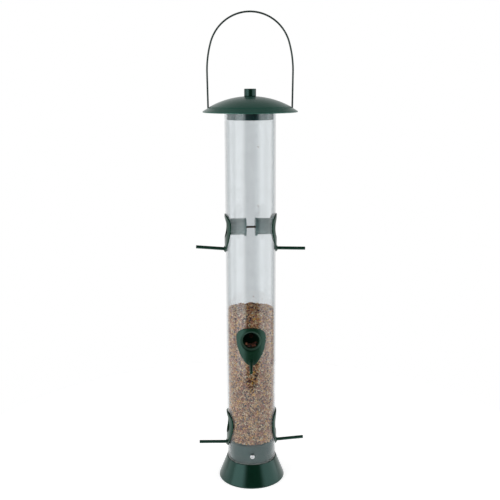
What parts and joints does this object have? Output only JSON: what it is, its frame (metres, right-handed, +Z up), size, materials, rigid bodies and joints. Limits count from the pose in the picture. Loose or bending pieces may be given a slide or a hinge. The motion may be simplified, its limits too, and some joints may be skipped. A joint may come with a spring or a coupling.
{
  "type": "hanging tube bird feeder",
  "caption": "Clear seed tube with side ports and perches, a flared foot, a domed lid that lifts, and a wire bail to hang it by.",
  "frame": {"origin": "centre of the circle that the foot stands on", "axes": "+Z up the tube to the bail's top; -Y is the front, where a middle port faces; the bail lies in the XZ plane"},
  "size_m": [0.1317, 0.1318, 0.5698],
  "materials": {
    "clear_tube": "clear, glossy",
    "green_plastic": "moulded, satin to glossy",
    "coated_wire": "dark green coating",
    "coated_rod": "dark green coating",
    "bright_steel": "bright",
    "dark_brass": "dulled bronze-brown",
    "seed": "loose mixed seed"
  },
  "bodies": {
    "feeder": {"base_foot": "green_plastic", "port_upper_left": "green_plastic", "port_upper_right": "green_plastic", "port_middle_front": "green_plastic", "port_middle_back": "green_plastic", "port_lower_left": "green_plastic", "port_lower_right": "green_plastic", "feed_tube": "clear_tube", "bail_wire": "coated_wire", "perch_upper_left": "coated_rod", "perch_upper_right": "coated_rod", "perch_middle_front": "coated_rod", "perch_middle_back": "coated_rod", "perch_lower_left": "coated_rod", "perch_lower_right": "coated_rod", "base_screws": "bright_steel", "tie_screw_upper": "dark_brass", "tie_nut_upper": "dark_brass", "tie_screw_middle": "dark_brass", "tie_nut_middle": "dark_brass", "tie_screw_lower": "dark_brass", "tie_nut_lower": "dark_brass", "seed_fill": "seed"},
    "lid": {"lid_dome": "green_plastic", "lid_plug": "green_plastic", "lid_knob": "green_plastic", "knob_screw": "bright_steel", "knob_washer": "bright_steel"}
  },
  "joints": [
    {"name": "lid_slide", "type": "slide", "parent": "feeder", "child": "lid", "axis": [0, 0, 1], "range_m": [0, 0.06]}
  ]
}
